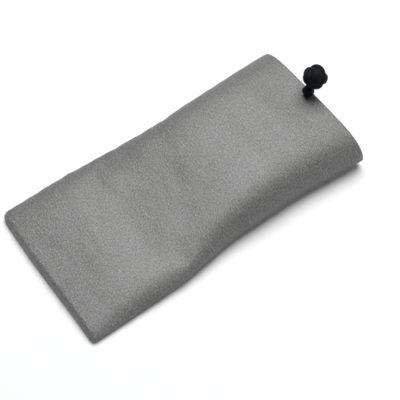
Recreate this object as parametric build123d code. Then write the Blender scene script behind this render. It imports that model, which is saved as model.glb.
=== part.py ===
from build123d import *
from math import asin, copysign, cos, degrees, radians, sin, tan
import os

# A soft padded pouch for glasses, lying on its back, with a knot button at its mouth.
# Frame: +Z up from the table, +Y from the closed end to the mouth, +X to the right seen from the mouth end's
# closed side. The origin is on the table, in the middle of the back panel. Millimetres.
# Both walls are three layers: outer cloth, wadding, lining. The outer cloth turns in over the mouth edge and
# lies inside as a facing, where the lining is sewn to it.

# ---- driving dimensions -------------------------------------------------------------------------------
POUCH_LENGTH = 184.0      # closed end to the mouth, along the back
POUCH_WIDTH = 90.0        # across the closed end, lying flat
OUTER_CLOTH = 0.5
WADDING = 1.2
LINING_CLOTH = 0.3
FACING_DEPTH = 9.0        # outer cloth turned in at the mouth
MOUTH_LEAN = 13.0         # degrees by which the front's edge stands back from the back's edge

END_HEIGHT = 5.2          # thickness at the closed end
SLACK_HEIGHT = 13.0       # crown of the empty part, towards the closed end
FULL_HEIGHT = 28.0        # crown of the filled part
MOUTH_HEIGHT = 26.5       # crown at the mouth
END_SEAM_HEIGHT = 2.6     # side seam above the table at the closed end
FULL_SEAM_HEIGHT = 9.0    # side seam above the table where the pouch is full
WAIST_PINCH = 4.4         # how far each side draws in where the pouch is fullest
CORNER_REACH = 10.0       # length of a rounded corner at the closed end
CORNER_DROP = 2.2         # how far the corner has drawn in at the very end
FRONT_FLATNESS = 2.25     # the front's section: 2 is an ellipse, and more is flatter with rounder sides
BACK_FLATNESS = 7.0       # the back's section
SEAM_GAP = 0.3            # between the two walls' rims, which part when the mouth is opened

BALL_DIAMETER = 13.4      # knot button
NECK_KNOT_DIAMETER = 7.0  # small knot under the button
STEM_DIAMETER = 3.2       # cord tails, bound together, from under the neck knot into the wadding
STEM_STANDS = 0.35        # stem's top above the cloth
BUTTON_OFFSET = 1.6       # from the middle of the mouth
STEM_SETBACK = 4.4        # stem's middle, back from the mouth edge
BALL_LEAN = 17.0          # degrees from upright, towards the mouth
MOVING_GAP = 0.3          # between pieces that turn past each other

THREAD = 0.4              # sewing thread, as laid in a seam
SEAM_STITCH = 2.4
SEAM_PITCH = 3.0
EDGE_STITCH = 1.6
EDGE_PITCH = 2.6
TRIM_AT_SEAM = 0.8        # wadding is cut this far short of the side seam, and the seam thread lies there
GROOVE = 0.5              # between facing and lining, where the mouth stitches lie

# ---- worked-out sizes ---------------------------------------------------------------------------------
TO_WADDING = OUTER_CLOTH
TO_LINING = TO_WADDING + WADDING
WALL = TO_LINING + LINING_CLOTH
HALF_LENGTH = POUCH_LENGTH / 2
LEAN = tan(radians(MOUTH_LEAN))
FLAT_SAG = 0.3            # the back is modelled this far through the table and trimmed level with it
BIG = 4 * POUCH_LENGTH


def ease(value, start, end):
    """0 before start, 1 after end, and a smooth step between them."""
    t = min(1.0, max(0.0, (value - start) / (end - start)))
    return t * t * (3 - 2 * t)


def crown(s):
    """Height of the front wall's ridge at a distance s from the closed end."""
    u = s / POUCH_LENGTH
    slack = END_HEIGHT + (SLACK_HEIGHT - END_HEIGHT) * ease(u, -0.12, 0.24)
    full = slack + (FULL_HEIGHT - SLACK_HEIGHT) * ease(u, 0.24, 0.66)
    return full + (MOUTH_HEIGHT - FULL_HEIGHT) * ease(u, 0.76, 1.0)


def seam_height(s):
    return END_SEAM_HEIGHT + (FULL_SEAM_HEIGHT - END_SEAM_HEIGHT) * ease(s / POUCH_LENGTH, 0.1, 0.7)


def half_width(s):
    """Half of the plan width at a distance s from the closed end."""
    u = s / POUCH_LENGTH
    pinch = WAIST_PINCH * ease(u, 0.2, 0.6) * (1 - 0.7 * ease(u, 0.72, 1.0))
    corner = CORNER_DROP * max(0.0, 1 - s / CORNER_REACH) ** 2.2
    return POUCH_WIDTH / 2 - pinch - corner


def wall_point(s, angle, inset):
    """A point on a wall's section: angle 0 is the right seam, 90 the crown, 180 the left seam, 270 the bottom.
    The front is a flattened ellipse, and the back is nearly flat with round sides."""
    c, d = cos(radians(angle)), sin(radians(angle))
    front = d >= 0
    flatness = FRONT_FLATNESS if front else BACK_FLATNESS
    floor = inset if inset > 0 else -FLAT_SAG
    rise = (crown(s) - inset - seam_height(s)) if front else (seam_height(s) - floor)
    x = (half_width(s) - inset) * copysign(abs(c) ** (2 / flatness), c)
    return Vector(x, s - HALF_LENGTH, seam_height(s) + rise * d)


def section(s, inset):
    """The closed outline of a wall surface, drawn in by inset, across the pouch at s."""
    front = [wall_point(s, a, inset) for a in range(0, 181, 15)]
    back = [wall_point(s, a, inset) for a in range(180, 361, 15)]
    return make_face([Spline(front), Spline(back)])


def envelope(inset):
    """The solid inside a wall surface drawn in by inset, run on past the mouth."""
    start = inset
    past_mouth = POUCH_LENGTH * 1.06
    shares = [0, 0.015, 0.04, 0.09, 0.18, 0.3, 0.42, 0.54, 0.66, 0.78, 0.9, 1.0]
    return loft([section(start + (past_mouth - start) * k, inset) for k in shares])


def behind_mouth(depth):
    """Everything on the closed side of the leaning mouth plane, depth behind it."""
    s = POUCH_LENGTH - depth
    corners = [(-BIG, -BIG), (s - HALF_LENGTH + LEAN * BIG, -BIG), (s - HALF_LENGTH - LEAN * BIG, BIG), (-BIG, BIG)]
    return extrude(Plane.YZ * make_face(Polyline(corners, close=True)), BIG, both=True)


def beyond_seam(side, gap):
    """Everything above (side 1) or below (side -1) the side seam, less gap."""
    steps = [POUCH_LENGTH * k for k in (-0.1, 0, 0.1, 0.2, 0.3, 0.4, 0.5, 0.6, 0.7, 0.8, 1.0, 1.2)]
    line = Spline([(s - HALF_LENGTH, seam_height(s) + side * gap) for s in steps])
    first, last = line @ 0, line @ 1
    rest = Polyline((last.X, last.Y), (last.X, side * BIG), (first.X, side * BIG), (first.X, first.Y))
    return extrude(Plane.YZ * make_face([line, rest]), POUCH_WIDTH, both=True)


def stitch(start, end, diameter):
    """One stitch: a round bar from start to end."""
    along = end - start
    return Solid.make_cylinder(diameter / 2, along.length, Plane(start, z_dir=along))


def stitch_row(points, diameter):
    """Stitches between each even point of a list and the next odd one."""
    return Compound([stitch(a, b, diameter) for a, b in zip(points[0::2], points[1::2])])


# ---- layers -------------------------------------------------------------------------------------------
outer_face, wadding_face, lining_face, hollow = [envelope(i) for i in (0, TO_WADDING, TO_LINING, WALL)]
above_table = Pos(0, 0, BIG / 2) * Box(BIG, BIG, BIG)
turned_in = lining_face - behind_mouth(FACING_DEPTH)
core = (wadding_face & behind_mouth(OUTER_CLOTH)) - turned_in

outer = ((outer_face & behind_mouth(0)) & above_table) - core - hollow
padding = (wadding_face & behind_mouth(OUTER_CLOTH)) - lining_face
lining = (lining_face & behind_mouth(FACING_DEPTH + GROOVE)) - hollow

front_half, back_half = beyond_seam(1, SEAM_GAP / 2), beyond_seam(-1, SEAM_GAP / 2)
padding_front = beyond_seam(1, SEAM_GAP / 2)
padding_back = beyond_seam(-1, SEAM_GAP / 2 + TRIM_AT_SEAM)

outer_front, outer_back = outer & front_half, outer & back_half
wadding_front, wadding_back = padding & padding_front, padding & padding_back
lining_front, lining_back = lining & front_half, lining & back_half

# ---- knot button ---------------------------------------------------------------------------------------
edge_s = POUCH_LENGTH - LEAN * MOUTH_HEIGHT
root_y = edge_s - STEM_SETBACK - HALF_LENGTH


def front_height(y):
    """Height of the front's surface at the button's offset from the middle."""
    needle = Line((BUTTON_OFFSET, y, 0), (BUTTON_OFFSET, y, BIG)) & outer_face
    return max(v.Z for v in needle.vertices())


half_stem = STEM_DIAMETER / 2
skin = Vector(BUTTON_OFFSET, root_y, front_height(root_y))
slope = (front_height(root_y + half_stem) - front_height(root_y - half_stem)) / STEM_DIAMETER
upright = Vector(0, -slope, 1).normalized()
stem_root = skin - upright * (TO_WADDING + WADDING / 2)
stem_length = TO_WADDING + WADDING / 2 + STEM_STANDS
neck_radius = NECK_KNOT_DIAMETER / 2
neck_centre = skin + upright * (STEM_STANDS + MOVING_GAP + neck_radius)
ball_way = Vector(0, sin(radians(BALL_LEAN)), cos(radians(BALL_LEAN)))
ball_centre = neck_centre + ball_way * (neck_radius + MOVING_GAP + BALL_DIAMETER / 2)

button_stem = Solid.make_cylinder(half_stem, stem_length, Plane(stem_root, z_dir=upright))
tack_radius = THREAD * 0.6
button_tack = Solid.make_torus(half_stem + tack_radius / 2, tack_radius, Plane(skin, z_dir=upright))
button_neck_knot = Pos(neck_centre) * Sphere(neck_radius)
button_ball_knot = Pos(ball_centre) * Sphere(BALL_DIAMETER / 2)
outer_front = outer_front - button_stem - button_tack
wadding_front = wadding_front - button_stem
button_tack = button_tack - button_stem

# ---- thread --------------------------------------------------------------------------------------------


def seam_points():
    """Stitch ends round the side seam, from the left of the mouth, round the closed end, to the right."""
    inset = (TO_WADDING + TO_LINING) / 2
    drop = SEAM_GAP / 2 + TRIM_AT_SEAM / 2

    def at(s, side):
        dip = degrees(asin(drop / (seam_height(s) - inset)))
        return wall_point(s, -dip if side > 0 else 180 + dip, inset)

    first, last = CORNER_REACH * 0.7, edge_s - FACING_DEPTH
    starts = [first + SEAM_PITCH * k for k in range(int((last - first) / SEAM_PITCH))]
    rows = []
    for side in (-1, 1):
        rows.append([at(s + d, side) for s in starts for d in (0, SEAM_STITCH)])
    reach = half_width(inset) - 3 * inset
    count = int(2 * reach / SEAM_PITCH)
    ends = [-reach + SEAM_PITCH * (k + 0.5) for k in range(count)]
    y, z = inset - HALF_LENGTH, seam_height(inset) - drop
    rows.append([Vector(x + d, y, z) for x in ends for d in (0, SEAM_STITCH)])
    return rows


def edge_points(first_angle, last_angle):
    """Stitch ends along the groove between facing and lining, between two angles of the wall's section."""
    inset = (TO_LINING + WALL) / 2 + THREAD * 0.1
    depth = FACING_DEPTH + GROOVE / 2

    def at(angle):
        s = POUCH_LENGTH - depth
        for _ in range(4):
            s = POUCH_LENGTH - depth - LEAN * wall_point(s, angle, inset).Z
        return wall_point(s, angle, inset)

    fine = [at(first_angle + (last_angle - first_angle) * k / 400) for k in range(401)]
    points, gone, wanted = [], 0.0, 0.0
    for a, b in zip(fine, fine[1:]):
        gone += (b - a).length
        if gone >= wanted:
            points.append(b)
            wanted += EDGE_STITCH if len(points) % 2 else EDGE_PITCH - EDGE_STITCH
    return points[: len(points) // 2 * 2]


seam_left, seam_right, seam_end = [stitch_row(points, THREAD) for points in seam_points()]
edge_thread = THREAD * 0.7
mouth_stitches_front = stitch_row(edge_points(12, 168), edge_thread)
mouth_stitches_back = stitch_row(edge_points(212, 328), edge_thread)

nodes = {
    "outer_front": outer_front,
    "outer_back": outer_back,
    "wadding_front": wadding_front,
    "wadding_back": wadding_back,
    "lining_front": lining_front,
    "lining_back": lining_back,
    "button_stem": button_stem,
    "button_tack_thread": button_tack,
    "button_neck_knot": button_neck_knot,
    "button_ball_knot": button_ball_knot,
    "seam_stitches_left": seam_left,
    "seam_stitches_right": seam_right,
    "seam_stitches_end": seam_end,
    "mouth_stitches_front": mouth_stitches_front,
    "mouth_stitches_back": mouth_stitches_back,
}
os.makedirs("parts", exist_ok=True)
for name, shape in nodes.items():
    shape.label = name
    export_step(shape, f"parts/{name}.step")

print("neck centre", neck_centre, "ball centre", ball_centre)
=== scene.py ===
# A soft padded pouch for glasses, built round its CAD frame: outer cloth, wadding, lining, thread and a knot
# button, each a piece of its own. The maker's sizes are in the property groups, and each operator makes one
# group of pieces. Sizes are in metres, in the frame's own axes: +Y from the closed end to the mouth, +Z up.
import math

import bmesh
import bpy
import numpy as np
from bpy.props import FloatProperty, FloatVectorProperty, IntProperty, PointerProperty
from bpy.types import Operator, Panel, PropertyGroup
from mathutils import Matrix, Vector


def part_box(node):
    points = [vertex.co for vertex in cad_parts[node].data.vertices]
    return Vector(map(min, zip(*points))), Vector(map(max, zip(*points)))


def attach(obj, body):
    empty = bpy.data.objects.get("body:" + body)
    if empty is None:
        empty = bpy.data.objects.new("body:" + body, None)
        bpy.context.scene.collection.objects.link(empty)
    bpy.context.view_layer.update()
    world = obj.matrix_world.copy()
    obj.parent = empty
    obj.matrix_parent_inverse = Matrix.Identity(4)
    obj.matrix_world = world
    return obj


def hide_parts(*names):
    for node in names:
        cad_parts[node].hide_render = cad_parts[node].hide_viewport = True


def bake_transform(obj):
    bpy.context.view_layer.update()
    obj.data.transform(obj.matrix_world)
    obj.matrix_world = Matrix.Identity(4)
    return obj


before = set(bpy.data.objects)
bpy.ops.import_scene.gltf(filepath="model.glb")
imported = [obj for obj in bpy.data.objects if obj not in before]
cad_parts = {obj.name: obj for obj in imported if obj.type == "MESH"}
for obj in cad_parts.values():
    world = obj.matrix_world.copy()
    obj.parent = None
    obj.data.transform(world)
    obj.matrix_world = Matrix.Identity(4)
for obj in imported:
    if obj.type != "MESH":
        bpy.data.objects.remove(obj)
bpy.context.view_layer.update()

bl_info = {
    "name": "Padded glasses pouch",
    "version": (1, 0, 0),
    "blender": (4, 5, 0),
    "location": "3D View > Sidebar > Pouch",
    "description": "Makes a soft padded pouch for glasses, with a knot button at its mouth",
    "category": "Mesh",
}

MM = 0.001
BACK_LOW, BACK_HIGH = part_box("outer_back")
FRONT_LOW, FRONT_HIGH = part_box("outer_front")
BALL_LOW, BALL_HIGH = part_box("button_ball_knot")
NECK_LOW, NECK_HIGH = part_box("button_neck_knot")
STEM_LOW, STEM_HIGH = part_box("button_stem")
TACK_LOW, TACK_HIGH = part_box("button_tack_thread")
FRONT, BACK = 1, -1
LEFT, RIGHT = -1, 1
# The power of each wall's section, where 2 would be an ellipse and more is flatter
FLATNESS = {FRONT: 4.7, BACK: 7.0}
# Rows and columns of each layer's grid
OUTER_GRID = (300, 121)
WADDING_GRID = (150, 73)
LINING_GRID = (220, 101)
SETTLING_GRID = (93, 49)
LIGHTS = (
    {"name": "key", "place": (-0.25, 0.27, 1.3), "size": 1.1, "power": 29.2},
    {"name": "fill", "place": (0.9, -0.5, 1.0), "size": 1.2, "power": 2.2},
)

# ---- sizes and colours ----


def length(name, description, default):
    return FloatProperty(name=name, description=description, default=default, unit="LENGTH", precision=5)


def angle(name, description, degrees):
    return FloatProperty(name=name, description=description, default=math.radians(degrees), subtype="ANGLE")


def factor(name, description, default):
    return FloatProperty(name=name, description=description, default=default, subtype="FACTOR")


def amount(name, description, default):
    return FloatProperty(name=name, description=description, default=default)


def number(name, description, default):
    return IntProperty(name=name, description=description, default=default)


def colour(name, description, default):
    return FloatVectorProperty(
        name=name, description=description, default=default, subtype="COLOR", min=0, max=1,
    )


class PouchSizes(PropertyGroup):
    length: length("Length", "Closed end to the mouth, along the back", BACK_HIGH[1] - BACK_LOW[1])
    width: length("Width", "Across the closed end, lying flat", 91.5 * MM)
    full_height: length("Full height", "Crown of the filled part", FRONT_HIGH[2])
    mouth_height: length("Mouth height", "Crown at the mouth", 26.5 * MM)
    slack_height: length("Slack height", "Crown of the empty part, towards the closed end", 13.0 * MM)
    end_height: length("End height", "Thickness at the closed end", 5.2 * MM)
    end_seam: length("End seam height", "Side seam above the table at the closed end", 2.6 * MM)
    full_seam: length("Full seam height", "Side seam above the table where it is full", 9.6 * MM)
    pinch_left: length("Left pinch", "How far the left side draws in where it is full", 5.2 * MM)
    pinch_right: length("Right pinch", "How far the right side draws in where it is full", 4.1 * MM)
    corner_left: length("Left corner", "Radius of the left corner at the closed end", 5.0 * MM)
    corner_right: length("Right corner", "Radius of the right corner at the closed end", 2.8 * MM)
    end_slant: length("End slant", "How far the closed end's right corner stands in", 1.7 * MM)
    end_round: length("End rounding", "How far in the padding has its full height", 2.6 * MM)
    mouth_lean: angle("Mouth lean", "How far back the front's edge stands", 13)
    cloth: length("Outer cloth", "Thickness of the outer cloth", 0.5 * MM)
    wadding: length("Wadding", "Thickness of the wadding", 1.2 * MM)
    lining: length("Lining", "Thickness of the lining", 0.3 * MM)
    facing: length("Facing", "Depth of outer cloth turned in at the mouth", 9.0 * MM)
    groove: length("Seam groove", "Depth of the groove along the sewn seams", 0.4 * MM)
    pucker: length("Pucker", "Height of the puckers along the sewn seams", 0.16 * MM)
    dent: length("Dent", "Depth of the broad dents away from the seams", 0.22 * MM)


class Settling(PropertyGroup):
    spare: factor("Spare cloth", "How much larger the cloth is than its form", 0.002)
    hold: factor("Hold", "How firmly the cloth is held away from the seams", 0.14)
    mouth_hold: factor("Mouth hold", "How firmly the mouth edge is held", 0.55)
    seam_reach: length("Seam reach", "How far the sewn seams hold the cloth", 2.2 * MM)
    bending: amount("Bending", "Bending stiffness of the padded wall", 60.0)
    pull: amount("Pull", "Stiffness of what holds the cloth", 1.0)
    pressure: amount("Pressure", "Outward press of the filling", 0.10)
    gravity: factor("Gravity", "Share of gravity that acts on the cloth", 0.0)
    most: length("Most", "The furthest that a point may move", 3.5 * MM)
    frames: number("Frames", "Length of the settling, in frames", 24)


class ThreadSizes(PropertyGroup):
    seam_thread: length("Seam thread", "Diameter of the thread in the side seams", 0.4 * MM)
    seam_pitch: length("Seam pitch", "From stitch to stitch along the side seams", 3.0 * MM)
    seam_stitch: length("Seam stitch", "Length of a stitch along the side seams", 2.4 * MM)
    edge_thread: length("Edge thread", "Diameter of the thread that holds the lining", 0.28 * MM)
    edge_pitch: length("Edge pitch", "From stitch to stitch along the lining's edge", 2.6 * MM)
    edge_stitch: length("Edge stitch", "Length of a stitch along the lining's edge", 1.6 * MM)
    edge_slant: length("Edge slant", "How far a stitch along the lining's edge slants", 1.0 * MM)


class ButtonSizes(PropertyGroup):
    cord_width: length("Cord width", "Width of the cord that the button is worked from", 5.3 * MM)
    cord_thickness: length("Cord thickness", "Thickness of that cord, pressed flat", 2.9 * MM)
    ball_turns: number("Ball turns", "Turns of the cord round the ball knot", 3)
    ball_bights: number("Ball bights", "Bights of the ball knot", 4)
    neck_cord: length("Neck cord", "Width of the cord in the neck knot", 2.9 * MM)
    neck_turns: number("Neck turns", "Turns of the cord round the neck knot", 2)
    neck_bights: number("Neck bights", "Bights of the neck knot", 3)
    stub_width: length("Stub width", "Width of the cord between the two knots", 2.6 * MM)
    stub_thickness: length("Stub thickness", "Thickness of that cord", 2.4 * MM)
    tail_width: length("Tail width", "Width of each cord tail under the neck knot", 2.4 * MM)
    tail_thickness: length("Tail thickness", "Thickness of each cord tail", 1.7 * MM)
    tail_apart: length("Tails apart", "From the middle of one tail to the other's", 1.5 * MM)
    tack_thread: length("Tack thread", "Diameter of the thread bound round the tails", 0.34 * MM)
    tack_width: length("Tack width", "Across the bound thread's coil, over both tails", 3.7 * MM)
    tack_depth: length("Tack depth", "Across the bound thread's coil, the other way", 3.0 * MM)
    tack_turns: number("Tack turns", "Turns of the thread bound round the tails", 4)
    weave: factor("Weave", "How far the cord moves out and in at its crossings", 0.17)
    swell: amount("Swell", "How far the cord stands out from the ball's own size", 1.06)


class ClothColours(PropertyGroup):
    silver: colour("Silver", "Outer cloth, warp", (0.118, 0.120, 0.115))
    slub: colour("Slub", "Outer cloth, its thick pale weft slubs", (0.215, 0.215, 0.208))
    # Painted shade: the outer cloth's colour in the gaps between its threads
    shade: colour("Shade", "Outer cloth, between its threads", (0.066, 0.067, 0.066))
    lining: colour("Lining", "Lining cloth", (0.030, 0.031, 0.034))
    wadding: colour("Wadding", "Wadding", (0.72, 0.70, 0.64))
    cord: colour("Cord", "Button cord", (0.0028, 0.0033, 0.0045))
    thread: colour("Thread", "Sewing thread in the cloth", (0.26, 0.26, 0.255))
    dark_thread: colour("Dark thread", "Thread bound round the button's tails", (0.012, 0.012, 0.014))


class StageSizes(PropertyGroup):
    floor: colour("Floor", "Floor", (0.66, 0.66, 0.66))
    floor_reach: length("Floor reach", "From its middle to its edges", 3.0)
    sky: colour("Sky", "Light from all round", (0.95, 0.97, 1.0))
    sky_strength: amount("Sky strength", "Strength of the light from all round", 0.20)
    azimuth: angle("Azimuth", "Camera's direction", 54.3)
    elevation: angle("Elevation", "Camera's height", 59.57)
    distance: length("Distance", "Camera from the frame's origin", 0.4468)
    aside: amount("Aside", "Camera's sideways shift", 0.0335)
    upward: amount("Upward", "Camera's upward shift", -0.0209)
    lens: amount("Lens", "Focal length in millimetres", 72.0)


# ---- surfaces ----


def ease(value, start, end):
    """0 before start, 1 after end, and a smooth step t*t*(3 - 2t) between them."""
    t = np.clip((value - start) / (end - start), 0, 1)
    return t * t * (3 - 2 * t)


def fade(distance, reach):
    """1 at no distance, and falling smoothly to nothing past the reach."""
    return np.exp(-((distance / reach) ** 2))


def unit(vectors):
    return vectors / np.linalg.norm(vectors, axis=-1, keepdims=True)


def crown(p, s):
    """Height of the front's ridge at s from the closed end: three smooth steps, one after the other."""
    u = s / p.length
    slack = p.end_height + (p.slack_height - p.end_height) * ease(u, -0.12, 0.24)
    full = slack + (p.full_height - p.slack_height) * ease(u, 0.255, 0.695)
    return full + (p.mouth_height - p.full_height) * ease(u, 0.76, 1.0)


def seam_height(p, s):
    """Height of the side seams above the table at s: one smooth step."""
    return p.end_seam + (p.full_seam - p.end_seam) * ease(s / p.length, 0.1, 0.7)


def half_width(p, s, across):
    """Half of the plan width at s: the flat half width, less the pinch of that side, which comes and goes by
    smooth steps, less the arc of its corner."""
    u = s / p.length
    left = p.pinch_left * ease(u, 0.173, 0.58) * (1 - 0.524 * ease(u, 0.603, 1.0))
    right = p.pinch_right * ease(u, 0.289, 0.534) * (1 - 0.765 * ease(u, 0.723, 1.0))
    pinch = left + (right - left) * ease(across, -0.25, 0.25)
    radius = np.where(across > 0, p.corner_right, p.corner_left)
    arc = radius * (1 - np.sqrt(1 - np.clip(1 - s / radius, 0, 1) ** 2))
    return p.width / 2 - pinch - arc


def waves(seed, along, lengths):
    """A gentle irregular wave of height about 1: one sine of a seeded phase for each of the wave lengths."""
    phases = np.random.default_rng(seed).uniform(0, 2 * math.pi, len(lengths))
    return sum(np.sin(2 * math.pi * along / w + f) for w, f in zip(lengths, phases)) / math.sqrt(len(lengths))


def bare_wall(p, s, v, side, inset):
    """A point of a wall, without its softness: s from the closed end, v from -1 at the left seam to 1 at the
    right. Across, x is the half width times sin(v 90 degrees), and the height is a superellipse of x. At the
    closed end the height grows from nothing as a quarter ellipse, and its right corner stands in. Inset is how
    deep in the wall the point lies."""
    across = np.sin(v * math.pi / 2)
    bow = np.sqrt(np.clip(1 - np.abs(across) ** FLATNESS[side], 0, 1))
    inner = np.clip((s - inset) / p.end_round, 0, 1)
    end = np.sqrt(1 - (1 - inner) ** 2)
    seam = seam_height(p, s)
    rise = crown(p, s) - inset - seam if side == FRONT else inset - seam
    x = (half_width(p, s, across) - inset) * across
    slant = p.end_slant * ease(across, -0.5, 1.0) * (1 - ease(s, 0, 0.3 * p.length))
    return np.stack([x, s - p.length / 2 + slant, seam + rise * bow * end], axis=-1)


def softness(p, s, v, side):
    """How much further in the cloth lies than the bare wall: a groove and puckers along the sewn seams, which
    fade with the distance from the seam, and low broad dents."""
    at = bare_wall(p, s, v, side, 0.0)
    edge = half_width(p, s, np.sin(v * math.pi / 2))
    above = at[..., 2] - seam_height(p, s)
    from_side = np.hypot(edge - np.abs(at[..., 0]), above)
    from_end = np.hypot(s, above)
    near = np.minimum(from_side, from_end)
    by_end = from_end < from_side
    run = np.where(by_end, at[..., 0] + 0.4, s)
    right_wave = waves(11 + side, s, (0.0165, 0.0118, 0.0091))
    left_wave = waves(23 + side, s, (0.0182, 0.0127, 0.0083))
    end_wave = waves(37 + side, at[..., 0], (0.0155, 0.0112, 0.0079))
    fine = waves(41 + side, run, (0.0047, 0.0039))
    wave = np.where(by_end, end_wave, np.where(v > 0, right_wave, left_wave))
    stitches = 1 + 0.22 * np.cos(2 * math.pi * run / (3 * MM))
    groove = p.groove * stitches * fade(near, 1.2 * MM)
    apart = 1 - fade(near, 1.5 * MM)
    long_pucker = p.pucker * wave * fade(near, 9 * MM)
    fine_pucker = 0.28 * p.pucker * fine * np.exp(-near / (3 * MM))
    dents = waves(53, at[..., 0] * 0.8 + s * 0.6, (0.047, 0.031))
    dents = dents * waves(59, s - at[..., 0] * 0.35, (0.052, 0.036))
    flat = ease(near, 4 * MM, 18 * MM)
    broad = p.dent * dents * flat * (1.0 if side == FRONT else 0.2)
    return groove + apart * (long_pucker + fine_pucker) + broad


SETTLED = {}


def spline_weights(t):
    """The four weights of a smooth cubic spline over a grid, at the share t between its two middle points."""
    u = 1 - t
    return [u ** 3 / 6, (3 * t ** 3 - 6 * t ** 2 + 4) / 6, (3 * u ** 3 - 6 * u ** 2 + 4) / 6, t ** 3 / 6]


def settled(p, s, v, side):
    """How far the settled cloth has moved at (s, v), smoothly between the points of its grid."""
    if side not in SETTLED:
        return np.zeros((*np.broadcast(s, v).shape, 3))
    grid = SETTLED[side]
    rows, columns = grid.shape[:2]
    share = s / at_mouth(p, 0.0, v, side, 0.0)
    row = np.clip(share, 0, 1) * (rows - 1)
    column = (np.clip(v, -1, 1) + 1) / 2 * (columns - 1)
    i, j = np.minimum(row.astype(int), rows - 2), np.minimum(column.astype(int), columns - 2)
    down, over = spline_weights(row - i), spline_weights(column - j)
    total = 0
    for a in range(4):
        for b in range(4):
            picked = grid[np.clip(i + a - 1, 0, rows - 1), np.clip(j + b - 1, 0, columns - 1)]
            total = total + picked * (down[a] * over[b])[..., None]
    return total


def wall(p, s, v, side, inset):
    """A point of a wall with its softness and the settled cloth's move, kept on or above the table."""
    at = bare_wall(p, s, v, side, inset + softness(p, s, v, side)) + settled(p, s, v, side)
    at[..., 2] = np.maximum(at[..., 2], inset)
    return at


def at_mouth(p, depth, v, side, inset):
    """s for points that lie depth behind the leaning plane of the mouth, found in a few rounds."""
    s = p.length - depth + 0 * v
    for _ in range(5):
        s = p.length - depth - math.tan(p.mouth_lean) * bare_wall(p, s, v, side, inset)[..., 2]
    return s


def cloth_path(p, lip, depth, rows, facing_rows=14, lip_rows=9):
    """The path of a layer that turns in at the mouth, as shares of the wall's length, depths behind the mouth
    and insets: along the wall, half round the mouth's edge at the radius lip, and back along the facing."""
    middle = (p.cloth + p.wadding + p.lining) / 2
    turn = np.linspace(0, math.pi, lip_rows + 2)[1:-1]
    ends = np.linspace(middle, depth, facing_rows)
    share = np.concatenate([np.linspace(0, 1, rows), np.ones(len(turn) + facing_rows)])
    back = np.concatenate([np.full(rows, middle), middle - lip * np.sin(turn), ends])
    inset = [np.full(rows, middle - lip), middle - lip * np.cos(turn), np.full(facing_rows, middle + lip)]
    return share, back, np.concatenate(inset)


def along_path(p, path, columns, side, reach=1.0):
    """The grid of points of a layer that follows a path, over that share of the width."""
    share, back, inset = (row[:, None] for row in path)
    v = np.linspace(-reach, reach, columns)[None, :] + 0 * share
    ends = at_mouth(p, back + 0 * v, v, side, inset + 0 * v)
    s = np.where(share < 1, inset + (ends - inset) * share, ends)
    return wall(p, s, v, side, inset + 0 * v)


def plain_layer(p, side, insets, depth, grid, reach=1.0):
    """The grids of a layer that runs to a depth behind the mouth, one for each inset."""
    rows, columns = grid
    share, back = np.linspace(0, 1, rows), np.full(rows, depth)
    return [along_path(p, (share, back, np.full(rows, inset)), columns, side, reach) for inset in insets]


def gone_along(line):
    """The length gone along a line of points, or along each column of a grid of them, at every point."""
    return np.cumsum(np.linalg.norm(np.diff(line, axis=0, prepend=line[:1]), axis=-1), axis=0)


def laid_flat(points):
    """The cloth's own coordinates in millimetres: across from the middle column, along from the first row."""
    across = gone_along(points.swapaxes(0, 1)).T
    across = across - across[:, [points.shape[1] // 2]]
    along = gone_along(points[:, points.shape[1] // 2])
    return np.stack([across, along[:, None] + 0 * across, 0 * across], axis=-1) / MM


# ---- meshes ----


def grid_faces(rows, columns, first=0, round_rows=False, round_columns=False):
    """Four-cornered faces of a grid of points, wrapped where it is round."""
    i = np.arange(rows if round_rows else rows - 1)[:, None]
    j = np.arange(columns if round_columns else columns - 1)[None, :]
    a, b = i * columns, (i + 1) % rows * columns
    faces = np.stack([a + j, a + (j + 1) % columns, b + (j + 1) % columns, b + j], axis=-1)
    return faces.reshape(-1, 4) + first


def make_piece(name, points, faces, flat=None, material=None, outward=True):
    """A mesh object at the origin, smooth, with its faces turned outwards and its cloth coordinates stored."""
    faces = faces.tolist() if isinstance(faces, np.ndarray) else faces
    mesh = bpy.data.meshes.new(name)
    mesh.from_pydata(np.asarray(points).reshape(-1, 3).tolist(), [], faces)
    if flat is not None:
        stored = mesh.attributes.new("cloth", "FLOAT_VECTOR", "POINT")
        stored.data.foreach_set("vector", np.asarray(flat, np.float32).reshape(-1))
    if outward:
        work = bmesh.new()
        work.from_mesh(mesh)
        bmesh.ops.recalc_face_normals(work, faces=work.faces)
        work.to_mesh(mesh)
        work.free()
    mesh.polygons.foreach_set("use_smooth", np.ones(len(mesh.polygons), bool))
    mesh.update()
    piece = bpy.data.objects.new(name, mesh)
    bpy.context.collection.objects.link(piece)
    if material:
        mesh.materials.append(material)
    return piece


def shell(name, outside, inside, material):
    """A thin closed layer between two grids of the same size: both grids, and a strip round all four edges."""
    rows, columns = outside.shape[:2]
    count = rows * columns
    index = np.arange(count).reshape(rows, columns)
    edge = np.concatenate([index[0, :-1], index[:-1, -1], index[-1, :0:-1], index[:0:-1, 0]])
    after = np.roll(edge, -1)
    strip = np.stack([edge, edge + count, after + count, after], axis=-1)
    faces = np.concatenate([grid_faces(rows, columns)[:, ::-1], grid_faces(rows, columns, count), strip])
    points = np.concatenate([outside.reshape(-1, 3), inside.reshape(-1, 3)])
    return make_piece(name, points, faces, np.stack([laid_flat(outside)] * 2), material)


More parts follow.
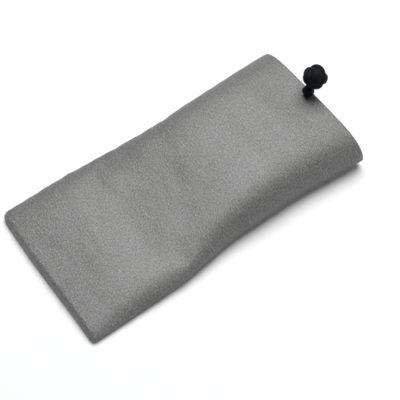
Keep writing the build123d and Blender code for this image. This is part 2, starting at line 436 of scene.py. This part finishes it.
def tube(line, ups, width, thickness, sides, closed=False):
    """The grid of an oval tube along a line, and its cloth coordinates. Its section is an ellipse across the
    line, with its thickness along the up direction, which is one for the whole line or one for each point."""
    if closed:
        along = np.roll(line, -1, axis=0) - np.roll(line, 1, axis=0)
    else:
        along = np.gradient(line, axis=0)
    along = unit(along)
    aside = unit(np.cross(along, ups))
    up = np.cross(aside, along)
    turn = np.linspace(0, 2 * math.pi, sides, endpoint=False)
    ring = np.cos(turn)[None, :, None] * aside[:, None] * (width / 2)
    ring = ring + np.sin(turn)[None, :, None] * up[:, None] * (thickness / 2)
    gone, round_it = np.meshgrid(gone_along(line), turn * (width + thickness) / 4, indexing="ij")
    return line[:, None] + ring, np.stack([gone, round_it, 0 * gone], axis=-1) / MM


def capped_tube(line, ups, width, thickness, sides):
    """An open tube with flat ends: points, faces and cloth coordinates."""
    ring, flat = tube(line, ups, width, thickness, sides)
    count = len(line) * sides
    faces = grid_faces(len(line), sides, round_columns=True).tolist()
    faces += [list(range(sides)), list(range(count - sides, count))]
    return ring.reshape(-1, 3), faces, flat.reshape(-1, 3)


def joined(parts):
    """Several sets of points, faces and cloth coordinates made one."""
    points, faces, flats, first = [], [], [], 0
    for at, face, flat in parts:
        points.append(at)
        flats.append(flat)
        faces += [[int(corner) + first for corner in corners] for corners in face]
        first += len(at)
    return np.concatenate(points), faces, np.concatenate(flats)


# ---- materials ----


class Nodes:
    """A short way to add nodes to a tree: values are given by a socket's name, or by its number after an i, and
    a socket is linked where it is given as the value."""

    def __init__(self, tree):
        self.tree = tree

    def add(self, kind, settings=None, **values):
        node = self.tree.nodes.new("ShaderNode" + kind)
        for key, value in (settings or {}).items():
            setattr(node, key, value)
        for key, value in values.items():
            by_number = key[0] == "i" and key[1:].isdigit()
            target = node.inputs[int(key[1:]) if by_number else key.replace("_", " ")]
            if isinstance(value, bpy.types.NodeSocket):
                self.link(value, target)
            else:
                target.default_value = value
        return node

    def link(self, source, target):
        self.tree.links.new(source, target)

    def group(self, tree, **values):
        return self.add("Group", {"node_tree": tree}, **values).outputs[0]

    def cloth(self):
        return self.add("Attribute", {"attribute_name": "cloth"}).outputs["Vector"]

    def math(self, operation, a, b=0.0, c=0.0):
        return self.add("Math", {"operation": operation}, i0=a, i1=b, i2=c).outputs[0]

    def plus(self, a, b):
        return self.math("ADD", a, b)

    def less(self, a, b):
        return self.math("SUBTRACT", a, b)

    def times(self, a, b):
        return self.math("MULTIPLY", a, b)

    def over(self, a, b):
        return self.math("DIVIDE", a, b)

    def sine(self, a):
        return self.math("SINE", a)

    def scaled(self, place, scale):
        return self.add("VectorMath", {"operation": "MULTIPLY"}, i0=place, i1=scale).outputs[0]

    def noise(self, place, scale=1.0, detail=2.0, roughness=0.5):
        node = self.add("TexNoise", None, Vector=place, Scale=scale, Detail=detail, Roughness=roughness)
        return node.outputs["Fac"]

    def between(self, value, low, high):
        """0 below low, 1 above high, and smooth between them."""
        settings = {"interpolation_type": "SMOOTHSTEP"}
        return self.add("MapRange", settings, Value=value, From_Min=low, From_Max=high).outputs["Result"]

    def mix(self, share, a, b):
        """From a to b by a share. A colour is three numbers or a socket."""
        a, b = (end if isinstance(end, bpy.types.NodeSocket) else (*end, 1) for end in (a, b))
        return self.add("Mix", {"data_type": "RGBA"}, i0=share, i6=a, i7=b).outputs[2]

    def varied(self, tone, value):
        """A colour with its brightness multiplied."""
        return self.add("HueSaturation", Value=value, Color=tone).outputs[0]

    def bump(self, surface, strength, distance, height):
        node = self.add("Bump", Strength=strength, Distance=distance, Height=height)
        self.link(node.outputs[0], surface["Normal"])


def toned(tone, by):
    """A colour made darker or paler: each of its shares multiplied."""
    return tuple(c * by for c in tone)


def new_group(name, inputs, output):
    """A node group with float inputs, a vector one where no default is given, and one float output. It comes
    with a Nodes helper."""
    group = bpy.data.node_groups.new(name, "ShaderNodeTree")
    for label, default in inputs.items():
        kind = "NodeSocketVector" if default is None else "NodeSocketFloat"
        made = group.interface.new_socket(name=label, in_out="INPUT", socket_type=kind)
        if default is not None:
            made.default_value = default
    group.interface.new_socket(name=output, in_out="OUTPUT", socket_type="NodeSocketFloat")
    start, end = group.nodes.new("NodeGroupInput"), group.nodes.new("NodeGroupOutput")
    return group, Nodes(group), start.outputs, end.inputs


def weave_group():
    """Plain weave: threads both ways, over and under by turns, as the product of two sines, with uneven
    threads."""
    inputs = {"Cloth": None, "Pitch": 0.4, "Unevenness": 0.5}
    group, n, given, result = new_group("Plain weave", inputs, "Height")
    apart = n.add("SeparateXYZ", Vector=given["Cloth"]).outputs
    drift = n.noise(n.scaled(given["Cloth"], (0.35, 1.1, 1.0)))
    wobble = n.times(n.less(drift, 0.5), given["Pitch"])
    turn = n.over(2 * math.pi, given["Pitch"])
    warp = n.sine(n.times(n.plus(apart["X"], wobble), turn))
    weft = n.sine(n.times(n.plus(apart["Y"], wobble), turn))
    weave = n.math("MULTIPLY_ADD", n.times(warp, weft), 0.5, 0.5)
    streak = n.noise(n.scaled(given["Cloth"], (0.25, 2.2, 1.0)), roughness=0.6)
    uneven = n.times(n.between(streak, 0.3, 0.7), given["Unevenness"])
    n.link(n.plus(weave, uneven), result["Height"])
    return group


def slub_group():
    """Slubs: thick places in the cross threads, long and thin, from noise stretched along the thread."""
    inputs = {"Cloth": None, "Length": 16.0, "Width": 0.5, "Amount": 0.5}
    group, n, given, result = new_group("Slubs", inputs, "Slub")
    stretch = n.add("CombineXYZ", X=n.over(1.0, given["Length"]), Y=n.over(1.0, given["Width"]), Z=1.0)
    thick = n.noise(n.scaled(given["Cloth"], stretch.outputs[0]), detail=1.0, roughness=0.4)
    limit = n.less(0.74, n.times(given["Amount"], 0.14))
    n.link(n.between(thick, limit, n.plus(limit, 0.09)), result["Slub"])
    return group


def new_material(name, roughness=0.5, specular=0.3, sheen=0.0, sheen_roughness=0.4, sheen_tint=(1, 1, 1)):
    """A material with a Principled BSDF, a Nodes helper for it, and the sockets of the BSDF."""
    material = bpy.data.materials.new(name)
    material.use_nodes = True
    material.node_tree.nodes.clear()
    n = Nodes(material.node_tree)
    surface = n.add(
        "BsdfPrincipled", Roughness=roughness, Specular_IOR_Level=specular, Sheen_Weight=sheen,
        Sheen_Roughness=sheen_roughness, Sheen_Tint=(*sheen_tint, 1),
    )
    n.add("OutputMaterial", Surface=surface.outputs[0])
    return material, n, surface.inputs


def silver_cloth(colours, weave, slubs):
    """Silver-grey slubbed cloth: grey threads with painted shade in the gaps between them, a grain, pale slubs
    across, and faint clouds of tone."""
    material, n, surface = new_material("silver_slub_cloth", specular=0.75)
    cloth = n.cloth()
    woven = n.group(weave, Cloth=cloth, Pitch=0.42, Unevenness=0.6)
    long_slubs = n.group(slubs, Cloth=cloth, Length=10.0, Width=0.50, Amount=0.62)
    shifted = n.add("VectorMath", {"operation": "ADD"}, i0=cloth, i1=(37.0, 11.0, 5.0)).outputs[0]
    short_slubs = n.group(slubs, Cloth=shifted, Length=4.0, Width=0.40, Amount=0.55)
    slub = n.math("MAXIMUM", long_slubs, n.times(short_slubs, 0.7))
    # Painted shade: the gaps between the threads take the shade colour
    weave_with_gap_shade = n.mix(n.between(woven, 0.1, 1.0), colours.shade, colours.silver)
    threaded = n.mix(n.times(slub, 0.8), weave_with_gap_shade, colours.slub)
    clouds = n.noise(n.scaled(cloth, (0.05, 0.09, 1.0)), detail=3.0, roughness=0.55)
    grain = n.between(n.noise(n.scaled(cloth, (1.0, 1.25, 1.0)), detail=1.0), 0.3, 0.7)
    value = n.plus(n.plus(n.times(clouds, 0.3), n.times(grain, 0.8)), 0.43)
    n.link(n.varied(threaded, value), surface["Base Color"])
    height = n.plus(n.plus(n.times(woven, 0.45), n.times(slub, 0.8)), n.times(grain, 0.5))
    n.bump(surface, 0.55, 0.14 * MM, height)
    n.link(n.less(0.50, n.times(slub, 0.10)), surface["Roughness"])
    return material


def lining_cloth(colours, weave):
    """Charcoal lining: a fine close weave with painted shade in the gaps between its threads, a little tone and
    a brushed sheen.
    """
    material, n, surface = new_material(
        "charcoal_lining", roughness=0.75, specular=0.2,
        sheen=0.35, sheen_roughness=0.5, sheen_tint=(0.6, 0.62, 0.66),
    )
    cloth = n.cloth()
    woven = n.group(weave, Cloth=cloth, Pitch=0.3, Unevenness=0.3)
    # Painted shade: the lining's colour darker in the gaps between its threads
    base = n.mix(n.between(woven, 0.0, 1.1), toned(colours.lining, 0.55), colours.lining)
    clouds = n.noise(n.scaled(cloth, (0.08, 0.08, 1.0)), detail=3.0, roughness=0.6)
    n.link(n.varied(base, n.plus(n.times(clouds, 0.4), 0.8)), surface["Base Color"])
    n.bump(surface, 0.4, 0.08 * MM, woven)
    return material


def felted_wadding(colours):
    """Off-white needled wadding: tangled fibres, from fine noise, and thin and thick places."""
    material, n, surface = new_material(
        "needled_wadding", roughness=0.95, specular=0.1, sheen=0.4, sheen_roughness=0.6,
    )
    place = n.add("TexCoord").outputs["Object"]
    fibres = n.noise(place, scale=1900.0, detail=6.0, roughness=0.75)
    lumps = n.noise(place, scale=160.0)
    felt = n.between(n.plus(n.times(fibres, 0.6), n.times(lumps, 0.4)), 0.35, 0.65)
    n.link(n.mix(felt, toned(colours.wadding, 0.72), colours.wadding), surface["Base Color"])
    n.bump(surface, 0.7, 0.3 * MM, fibres)
    return material


def satin_cord(colours):
    """Near-black satin cord: a fine slanting plait along the cord, with a painted bluish highlight on its
    ridges, where its colour is paler, and a faint bluish sheen.
    """
    material, n, surface = new_material(
        "black_satin_cord", specular=0.10, sheen=0.02, sheen_roughness=0.35, sheen_tint=(0.55, 0.62, 0.7),
    )
    cloth = n.cloth()
    apart = n.add("SeparateXYZ", Vector=cloth).outputs
    along, round_it = n.times(apart["X"], 9.0), n.times(apart["Y"], 9.0)
    plait = n.times(n.sine(n.plus(along, round_it)), n.sine(n.less(along, round_it)))
    fuzz = n.noise(n.scaled(cloth, (1.2, 7.0, 1.0)), detail=3.0, roughness=0.6)
    height = n.plus(n.times(plait, 0.5), fuzz)
    # Painted highlight: the cord's colour made paler on the plait's ridges and raised fuzz
    pale = toned(colours.cord, 2.6)
    n.link(n.mix(n.between(height, 0.2, 1.1), colours.cord, pale), surface["Base Color"])
    n.bump(surface, 0.45, 0.16 * MM, height)
    n.link(n.plus(0.5, n.times(fuzz, 0.25)), surface["Roughness"])
    return material


def sewing_thread(name, tone):
    """Sewing thread: the slanting ply of two twisted yarns, with painted shade in the grooves between them."""
    material, n, surface = new_material(name, roughness=0.6, sheen=0.2)
    apart = n.add("SeparateXYZ", Vector=n.cloth()).outputs
    twist = n.sine(n.plus(n.times(apart["X"], 14.0), n.times(apart["Y"], 10.0)))
    # Painted shade: the thread's colour darker in the grooves between the two yarns
    n.link(n.mix(n.between(twist, -1.0, 0.6), toned(tone, 0.55), tone), surface["Base Color"])
    n.bump(surface, 0.5, 0.06 * MM, twist)
    return material


def plain_floor(tone):
    """Pale floor with a barely uneven tone."""
    material, n, surface = new_material("pale_floor", roughness=0.9, specular=0.1)
    cloud = n.noise(n.add("TexCoord").outputs["Object"], scale=3.0)
    n.link(n.mix(cloud, toned(tone, 0.985), tone), surface["Base Color"])
    return material


MADE = {}


def finish(name):
    """A finish by name, made once with the groups that it needs."""
    if name in MADE:
        return MADE[name]
    colours = bpy.context.scene.pouch_colours
    makers = {
        "weave": weave_group,
        "slubs": slub_group,
        "silver": lambda: silver_cloth(colours, finish("weave"), finish("slubs")),
        "lining": lambda: lining_cloth(colours, finish("weave")),
        "wadding": lambda: felted_wadding(colours),
        "cord": lambda: satin_cord(colours),
        "grey thread": lambda: sewing_thread("grey_thread", colours.thread),
        "dark thread": lambda: sewing_thread("dark_thread", colours.dark_thread),
        "floor": lambda: plain_floor(bpy.context.scene.pouch_stage.floor),
    }
    MADE[name] = makers[name]()
    return MADE[name]


# ---- pieces ----

SIDE_NAMES = {FRONT: "front", BACK: "back"}


def hold(piece, side, slot, *nodes):
    """The piece stands for its CAD nodes, which are hidden. A back piece rides on the back wall. A front piece
    is sewn to the back wall along the side seams; here it rides on nothing, and its place is baked into its
    points."""
    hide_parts(*nodes)
    if side == BACK:
        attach(piece, "back_wall")
        return
    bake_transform(piece)


def settling_wall(p, c, side, share, v):
    """The outer cloth of one wall before it settles, and how firmly each point is held: fully at the sewn
    seams, a good part at the mouth's edge, little elsewhere, and fully where the back lies on the table."""
    s = share * at_mouth(p, 0.0, v, side, 0.0)
    at = bare_wall(p, s, v, side, 0.0)
    near = np.minimum(half_width(p, s, np.sin(v * math.pi / 2)) - np.abs(at[..., 0]), s)
    near = np.hypot(np.maximum(near, 0), at[..., 2] - seam_height(p, s))
    held = c.hold + (1 - c.hold) * fade(near, c.seam_reach)
    held = np.maximum(held, c.mouth_hold * ease(share, 0.94, 1.0))
    if side == BACK:
        held = np.maximum(held, ease(0.92 - np.abs(v), 0, 0.2))
    return at, held


class POUCH_OT_settle(Operator):
    """Let the outer cloth settle by simulation, a little larger than its form, and keep how far it moves"""

    bl_idname = "pouch.settle"
    bl_label = "Settle the cloth"

    def execute(self, context):
        p, c = context.scene.pouch_sizes, context.scene.pouch_settling
        rows, columns = SETTLING_GRID
        share, v = np.meshgrid(np.linspace(0, 1, rows), np.linspace(-1, 1, columns), indexing="ij")
        front, front_held = settling_wall(p, c, FRONT, share, v)
        back, back_held = settling_wall(p, c, BACK, share, v)
        points = np.concatenate([front.reshape(-1, 3), back[1:, 1:-1].reshape(-1, 3)])
        holds = np.concatenate([front_held.reshape(-1), back_held[1:, 1:-1].reshape(-1)])
        # The back's grid has the front's points along the seams
        front_index = np.arange(rows * columns).reshape(rows, columns)
        back_index = front_index.copy()
        own = np.arange(rows * columns, len(points))
        back_index[1:, 1:-1] = own.reshape(rows - 1, columns - 2)
        faces = []
        for index in (front_index, back_index):
            corners = [index[:-1, :-1], index[:-1, 1:], index[1:, 1:], index[1:, :-1]]
            faces.append(np.stack(corners, axis=-1).reshape(-1, 4))
        form = make_piece("settling_cloth", points, np.concatenate(faces))
        group = form.vertex_groups.new(name="hold")
        for k, weight in enumerate(holds.tolist()):
            group.add([k], weight, "REPLACE")
        cloth = form.modifiers.new("settle", "CLOTH").settings
        cloth.quality, cloth.mass, cloth.air_damping = 6, 0.3, 1.0
        cloth.tension_stiffness, cloth.compression_stiffness, cloth.shear_stiffness = 18.0, 18.0, 6.0
        cloth.bending_stiffness = c.bending
        cloth.vertex_group_mass, cloth.pin_stiffness = "hold", c.pull
        cloth.shrink_min = -c.spare
        cloth.use_pressure, cloth.uniform_pressure_force = True, c.pressure
        cloth.effector_weights.gravity = c.gravity
        for frame_number in range(1, c.frames + 1):
            context.scene.frame_set(frame_number)
        shown = form.evaluated_get(context.evaluated_depsgraph_get()).to_mesh()
        moved = np.zeros(len(points) * 3)
        shown.vertices.foreach_get("co", moved)
        moved = moved.reshape(-1, 3) - points
        size = np.linalg.norm(moved, axis=1, keepdims=True)
        moved = moved * np.minimum(1, c.most / np.maximum(size, 1e-9))
        SETTLED[FRONT], SETTLED[BACK] = moved[front_index], moved[back_index]
        context.scene.frame_set(1)
        bpy.data.objects.remove(form)
        return {"FINISHED"}


class POUCH_OT_outer_cloth(Operator):
    """Make the outer cloth of front and back, each turned in at the mouth as a facing"""

    bl_idname = "pouch.outer_cloth"
    bl_label = "Outer cloth"

    def execute(self, context):
        p = context.scene.pouch_sizes
        rows, columns = OUTER_GRID
        middle = (p.cloth + p.wadding + p.lining) / 2
        for side in (FRONT, BACK):
            paths = (cloth_path(p, lip, p.facing, rows) for lip in (middle, middle - p.cloth))
            grids = [along_path(p, path, columns, side) for path in paths]
            name = f"outer_cloth_{SIDE_NAMES[side]}"
            piece = shell(name, *grids, finish("silver"))
            hold(piece, side, "dupioni", f"outer_{SIDE_NAMES[side]}")
        return {"FINISHED"}


class POUCH_OT_wadding(Operator):
    """Make the wadding between the cloth and the lining"""

    bl_idname = "pouch.wadding"
    bl_label = "Wadding"

    def execute(self, context):
        p = context.scene.pouch_sizes
        spare = 0.06 * MM
        insets = (p.cloth + spare, p.cloth + p.wadding - spare)
        for side in (FRONT, BACK):
            grids = plain_layer(p, side, insets, p.cloth + 0.5 * MM, WADDING_GRID, reach=0.985)
            name = f"wadding_layer_{SIDE_NAMES[side]}"
            piece = shell(name, *grids, finish("wadding"))
            hold(piece, side, "wadding", f"wadding_{SIDE_NAMES[side]}")
        return {"FINISHED"}


class POUCH_OT_lining(Operator):
    """Make the lining, from the facing down to the closed end"""

    bl_idname = "pouch.lining"
    bl_label = "Lining"

    def execute(self, context):
        p = context.scene.pouch_sizes
        insets = (p.cloth + p.wadding + 0.02 * MM, p.cloth + p.wadding + p.lining)
        for side in (FRONT, BACK):
            grids = plain_layer(p, side, insets, p.facing + 0.5 * MM, LINING_GRID)
            name = f"lining_cloth_{SIDE_NAMES[side]}"
            piece = shell(name, *grids, finish("lining"))
            hold(piece, side, "lining", f"lining_{SIDE_NAMES[side]}")
        return {"FINISHED"}


def stitches(name, starts, ends, lifts, height, diameter):
    """A row of stitches, each a short arched thread from a start to an end, standing up along its lift by the
    height, with a third of its thickness sunk in."""
    steps = np.linspace(0, 1, 6)
    arch = np.sin(steps * math.pi) ** 0.6
    parts = []
    for start, end, up in zip(starts, ends, lifts):
        line = start + (end - start) * steps[:, None] + up * (arch * height - diameter * 0.35)[:, None]
        parts.append(capped_tube(line, up, diameter, diameter, 6))
    return make_piece(name, *joined(parts), finish("grey thread"))


class POUCH_OT_seam_stitches(Operator):
    """Make the stitches in the groove of the side and end seams"""

    bl_idname = "pouch.seam_stitches"
    bl_label = "Seam stitches"

    def execute(self, context):
        p, t = context.scene.pouch_sizes, context.scene.pouch_thread
        first, last = 7 * MM, p.length - p.facing - 5 * MM
        count = int((last - first) / t.seam_pitch)
        s = first + t.seam_pitch * np.arange(count)
        deep, height = 0.35 * t.seam_thread, 0.25 * MM
        for name, side in (("left", LEFT), ("right", RIGHT)):
            ends = [wall(p, s + d, np.full(count, float(side)), BACK, deep) for d in (0, t.seam_stitch)]
            lift = np.repeat([[float(side), 0, 0]], count, axis=0)
            piece = stitches(f"seam_thread_{name}", *ends, lift, height, t.seam_thread)
            hold(piece, BACK, "grey_thread", f"seam_stitches_{name}")
        half = p.width / 2
        reach = half - 6 * MM
        count = int(2 * reach / t.seam_pitch)
        x = -reach + t.seam_pitch * np.arange(count)
        ends = []
        for d in (0, t.seam_stitch):
            v = np.arcsin(np.clip((x + d) / half, -1, 1)) * 2 / math.pi
            ends.append(wall(p, np.full(count, deep), v, BACK, deep))
        lift = np.repeat([[0, -1.0, 0]], count, axis=0)
        piece = stitches("seam_thread_end", *ends, lift, height, t.seam_thread)
        hold(piece, BACK, "grey_thread", "seam_stitches_end")
        return {"FINISHED"}


class POUCH_OT_mouth_stitches(Operator):
    """Make the stitches that hold the lining's edge to the facing"""

    bl_idname = "pouch.mouth_stitches"
    bl_label = "Mouth stitches"

    def execute(self, context):
        p, t = context.scene.pouch_sizes, context.scene.pouch_thread
        inside = p.cloth + p.wadding + p.lining
        edge, height = p.facing + 0.25 * MM, 0.22 * MM

        def on_lining(depth, v, side):
            return wall(p, at_mouth(p, depth, v, side, inside), v, side, inside)

        for side in (FRONT, BACK):
            v = np.linspace(-0.94, 0.94, 900)
            gone = gone_along(on_lining(edge, v, side))
            count = int(gone[-1] / t.edge_pitch)
            first = t.edge_pitch * np.arange(count)
            ends = []
            for offset, slant in ((0, -t.edge_slant / 2), (t.edge_stitch, t.edge_slant / 2)):
                ends.append(on_lining(edge + slant, np.interp(first + offset, gone, v), side))
            x = (ends[0][:, 0] + ends[1][:, 0]) / 2
            inward = unit(np.stack([-0.35 * x, 0 * x, -side * (0.03 - 0.35 * np.abs(x))], axis=-1))
            piece = stitches(f"mouth_thread_{SIDE_NAMES[side]}", *ends, inward, height, t.edge_thread)
            hold(piece, side, "grey_thread", f"mouth_stitches_{SIDE_NAMES[side]}")
        return {"FINISHED"}


def square_to(first, second):
    """Three directions square to each other: along the first, the second made square to it, and across both."""
    first = unit(first)
    second = unit(second - first * (second @ first))
    return first, second, np.cross(first, second)


def turks_head(
    centre, radius, turns, bights, width, thickness, reach, weave, swell, front, top, steps, sides,
):
    """A cord worked into a ball: it goes round turns times while its latitude swings out to its reach bights
    times, and it weaves over and under itself by moving out and in twice for each swing. A place where it lies
    on top faces the front direction, and the cord there runs along the top direction."""
    t = np.linspace(0, 2 * math.pi, steps, endpoint=False)

    def on_ball(t):
        latitude, longitude = reach * np.sin(bights * t), turns * t
        x, y = np.cos(latitude) * np.cos(longitude), np.cos(latitude) * np.sin(longitude)
        return np.stack([x, y, np.sin(latitude)], axis=-1)

    over = math.pi / (6 * bights)
    pair = on_ball(np.array([over, over + 0.001]))
    own = np.stack(square_to(pair[0], pair[1] - pair[0]))
    wanted = np.stack(square_to(np.array(front), np.array(top)))
    out = on_ball(t) @ own.T @ wanted
    away = (radius - thickness / 2) / (1 + weave) * swell * (1 + weave * np.sin(2 * bights * t))
    ring, flat = tube(np.array(centre) + out * away[:, None], out, width, thickness, sides, closed=True)
    faces = grid_faces(steps, sides, round_rows=True, round_columns=True)
    return ring.reshape(-1, 3), faces, flat.reshape(-1, 3)


def ball(centre, radius, rows=24, columns=36):
    """A sphere of points, faces and cloth coordinates, its poles closed by short rings."""
    turn = np.linspace(0, 2 * math.pi, columns, endpoint=False)[None, :]
    tilt = np.linspace(0.02, math.pi - 0.02, rows)[:, None]
    x, y, z = np.sin(tilt) * np.cos(turn), np.sin(tilt) * np.sin(turn), np.cos(tilt) + 0 * turn
    out = np.stack([x, y, z], axis=-1).reshape(-1, 3)
    faces = grid_faces(rows, columns, round_columns=True).tolist()
    faces += [list(range(columns)), list(range((rows - 1) * columns, rows * columns))]
    return np.array(centre) + out * radius, faces, out * 6


def middle_of(low, high):
    return (np.array(low) + np.array(high)) / 2


class POUCH_OT_button(Operator):
    """Make the knot button: ball knot, neck knot, cord stub and tack thread"""

    bl_idname = "pouch.button"
    bl_label = "Knot button"

    def execute(self, context):
        b = context.scene.pouch_button
        centre, neck = middle_of(BALL_LOW, BALL_HIGH), middle_of(NECK_LOW, NECK_HIGH)
        radius, neck_radius = (BALL_HIGH[2] - BALL_LOW[2]) / 2, (NECK_HIGH[2] - NECK_LOW[2]) / 2
        way = unit(centre - neck)
        across = np.array([1.0, 0, 0])
        front = (0.41, -0.30, 0.86)
        knot = turks_head(
            centre, radius, b.ball_turns, b.ball_bights, b.cord_width, b.cord_thickness,
            reach=math.radians(56), weave=b.weave, swell=b.swell, front=front, top=(-0.70, 0.50, 0.51),
            steps=420, sides=20,
        )
        core = ball(centre, radius - b.cord_thickness * 0.9)
        line = np.linspace(centre - way * (radius * 0.75), neck + way * (neck_radius * 0.1), 8)
        stub = capped_tube(line, across, b.stub_width, b.stub_thickness, 14)
        piece = make_piece("ball_knot", *joined([knot, core, stub]), finish("cord"))
        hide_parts("button_ball_knot")
        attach(piece, "ball_knot")

        knot = turks_head(
            neck, neck_radius, b.neck_turns, b.neck_bights, b.neck_cord, b.neck_cord * 0.8,
            reach=math.radians(44), weave=b.weave, swell=b.swell, front=front, top=(0.5, 0.4, 0.3),
            steps=240, sides=16,
        )
        core = ball(neck, neck_radius * 0.62)
        piece = make_piece("neck_knot", *joined([knot, core]), finish("cord"))
        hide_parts("button_neck_knot")
        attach(piece, "neck_knot")

        tack = middle_of(TACK_LOW, TACK_HIGH)
        upright = unit(neck - tack)
        low, high = (tack + upright * (height - tack[2]) for height in (STEM_LOW[2], STEM_HIGH[2]))
        tails = []
        for aside in (-b.tail_apart / 2 * across, b.tail_apart / 2 * across):
            line = np.linspace(low + aside, high + aside, 8)
            tails.append(capped_tube(line, across, b.tail_width, b.tail_thickness, 12))
        piece = make_piece("button_tails", *joined(tails), finish("cord"))
        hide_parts("button_stem")
        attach(piece, "front_wall")

        turn = np.linspace(0, 2 * math.pi * b.tack_turns, 160)[:, None]
        around = b.tack_width / 2 * np.cos(turn) * across
        around = around + b.tack_depth / 2 * np.sin(turn) * np.cross(upright, across)
        rise = upright * (-0.1 * MM + 0.5 * MM * turn / turn[-1])
        wraps = capped_tube(tack + around + rise, upright, b.tack_thread, b.tack_thread, 8)
        piece = make_piece("tack_thread", *wraps, finish("dark thread"))
        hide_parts("button_tack_thread")
        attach(piece, "front_wall")
        return {"FINISHED"}


class POUCH_OT_stage(Operator):
    """Make the pale floor, the soft lights and the camera"""

    bl_idname = "pouch.stage"
    bl_label = "Stage"

    def execute(self, context):
        stage = context.scene.pouch_stage
        reach = stage.floor_reach
        corners = [(-reach, -reach, 0), (reach, -reach, 0), (reach, reach, 0), (-reach, reach, 0)]
        floor = make_piece("floor", corners, [[0, 1, 2, 3]], None, finish("floor"), outward=False)
        for wanted in LIGHTS:
            light = bpy.data.lights.new(wanted["name"], "AREA")
            light.shape, light.size, light.energy = "DISK", wanted["size"], wanted["power"]
            lamp = bpy.data.objects.new(wanted["name"], light)
            lamp.location = wanted["place"]
            lamp.rotation_euler = (-Vector(wanted["place"])).to_track_quat("-Z", "Y").to_euler()
            context.collection.objects.link(lamp)
        world = bpy.data.worlds.new("studio")
        world.use_nodes = True
        background = world.node_tree.nodes["Background"].inputs
        background["Color"].default_value = (*stage.sky, 1)
        background["Strength"].default_value = stage.sky_strength
        context.scene.world = world
        camera = bpy.data.cameras.new("camera")
        camera.lens, camera.sensor_width = stage.lens, 36.0
        a, e = stage.azimuth, stage.elevation
        back = Vector((math.sin(a) * math.cos(e), -math.cos(a) * math.cos(e), math.sin(e)))
        viewer = bpy.data.objects.new("camera", camera)
        viewer.location = back * stage.distance
        viewer.rotation_euler = (-viewer.location).to_track_quat("-Z", "Y").to_euler()
        camera.shift_x, camera.shift_y = stage.aside, stage.upward
        camera.clip_start, camera.clip_end = 0.01, 20
        context.collection.objects.link(viewer)
        context.scene.camera = viewer
        context.scene.view_settings.view_transform = "Standard"
        return {"FINISHED"}


class POUCH_PT_sidebar(Panel):
    """Lists the steps in the order that they are made in"""

    bl_label = "Padded glasses pouch"
    bl_idname = "POUCH_PT_sidebar"
    bl_space_type = "VIEW_3D"
    bl_region_type = "UI"
    bl_category = "Pouch"

    def draw(self, context):
        for step in STEPS:
            self.layout.operator(step.bl_idname)


STEPS = (
    POUCH_OT_settle,
    POUCH_OT_wadding,
    POUCH_OT_outer_cloth,
    POUCH_OT_lining,
    POUCH_OT_seam_stitches,
    POUCH_OT_mouth_stitches,
    POUCH_OT_button,
    POUCH_OT_stage,
)
GROUPS = {
    "pouch_sizes": PouchSizes,
    "pouch_settling": Settling,
    "pouch_thread": ThreadSizes,
    "pouch_button": ButtonSizes,
    "pouch_colours": ClothColours,
    "pouch_stage": StageSizes,
}


def register():
    for kind in (*GROUPS.values(), *STEPS, POUCH_PT_sidebar):
        bpy.utils.register_class(kind)
    for name, group in GROUPS.items():
        setattr(bpy.types.Scene, name, PointerProperty(type=group))


def unregister():
    for name in GROUPS:
        delattr(bpy.types.Scene, name)
    for kind in (POUCH_PT_sidebar, *STEPS, *GROUPS.values()):
        bpy.utils.unregister_class(kind)


def main():
    register()
    for step in STEPS:
        family, verb = step.bl_idname.split(".")
        getattr(getattr(bpy.ops, family), verb)()


if __name__ == "__main__":
    main()
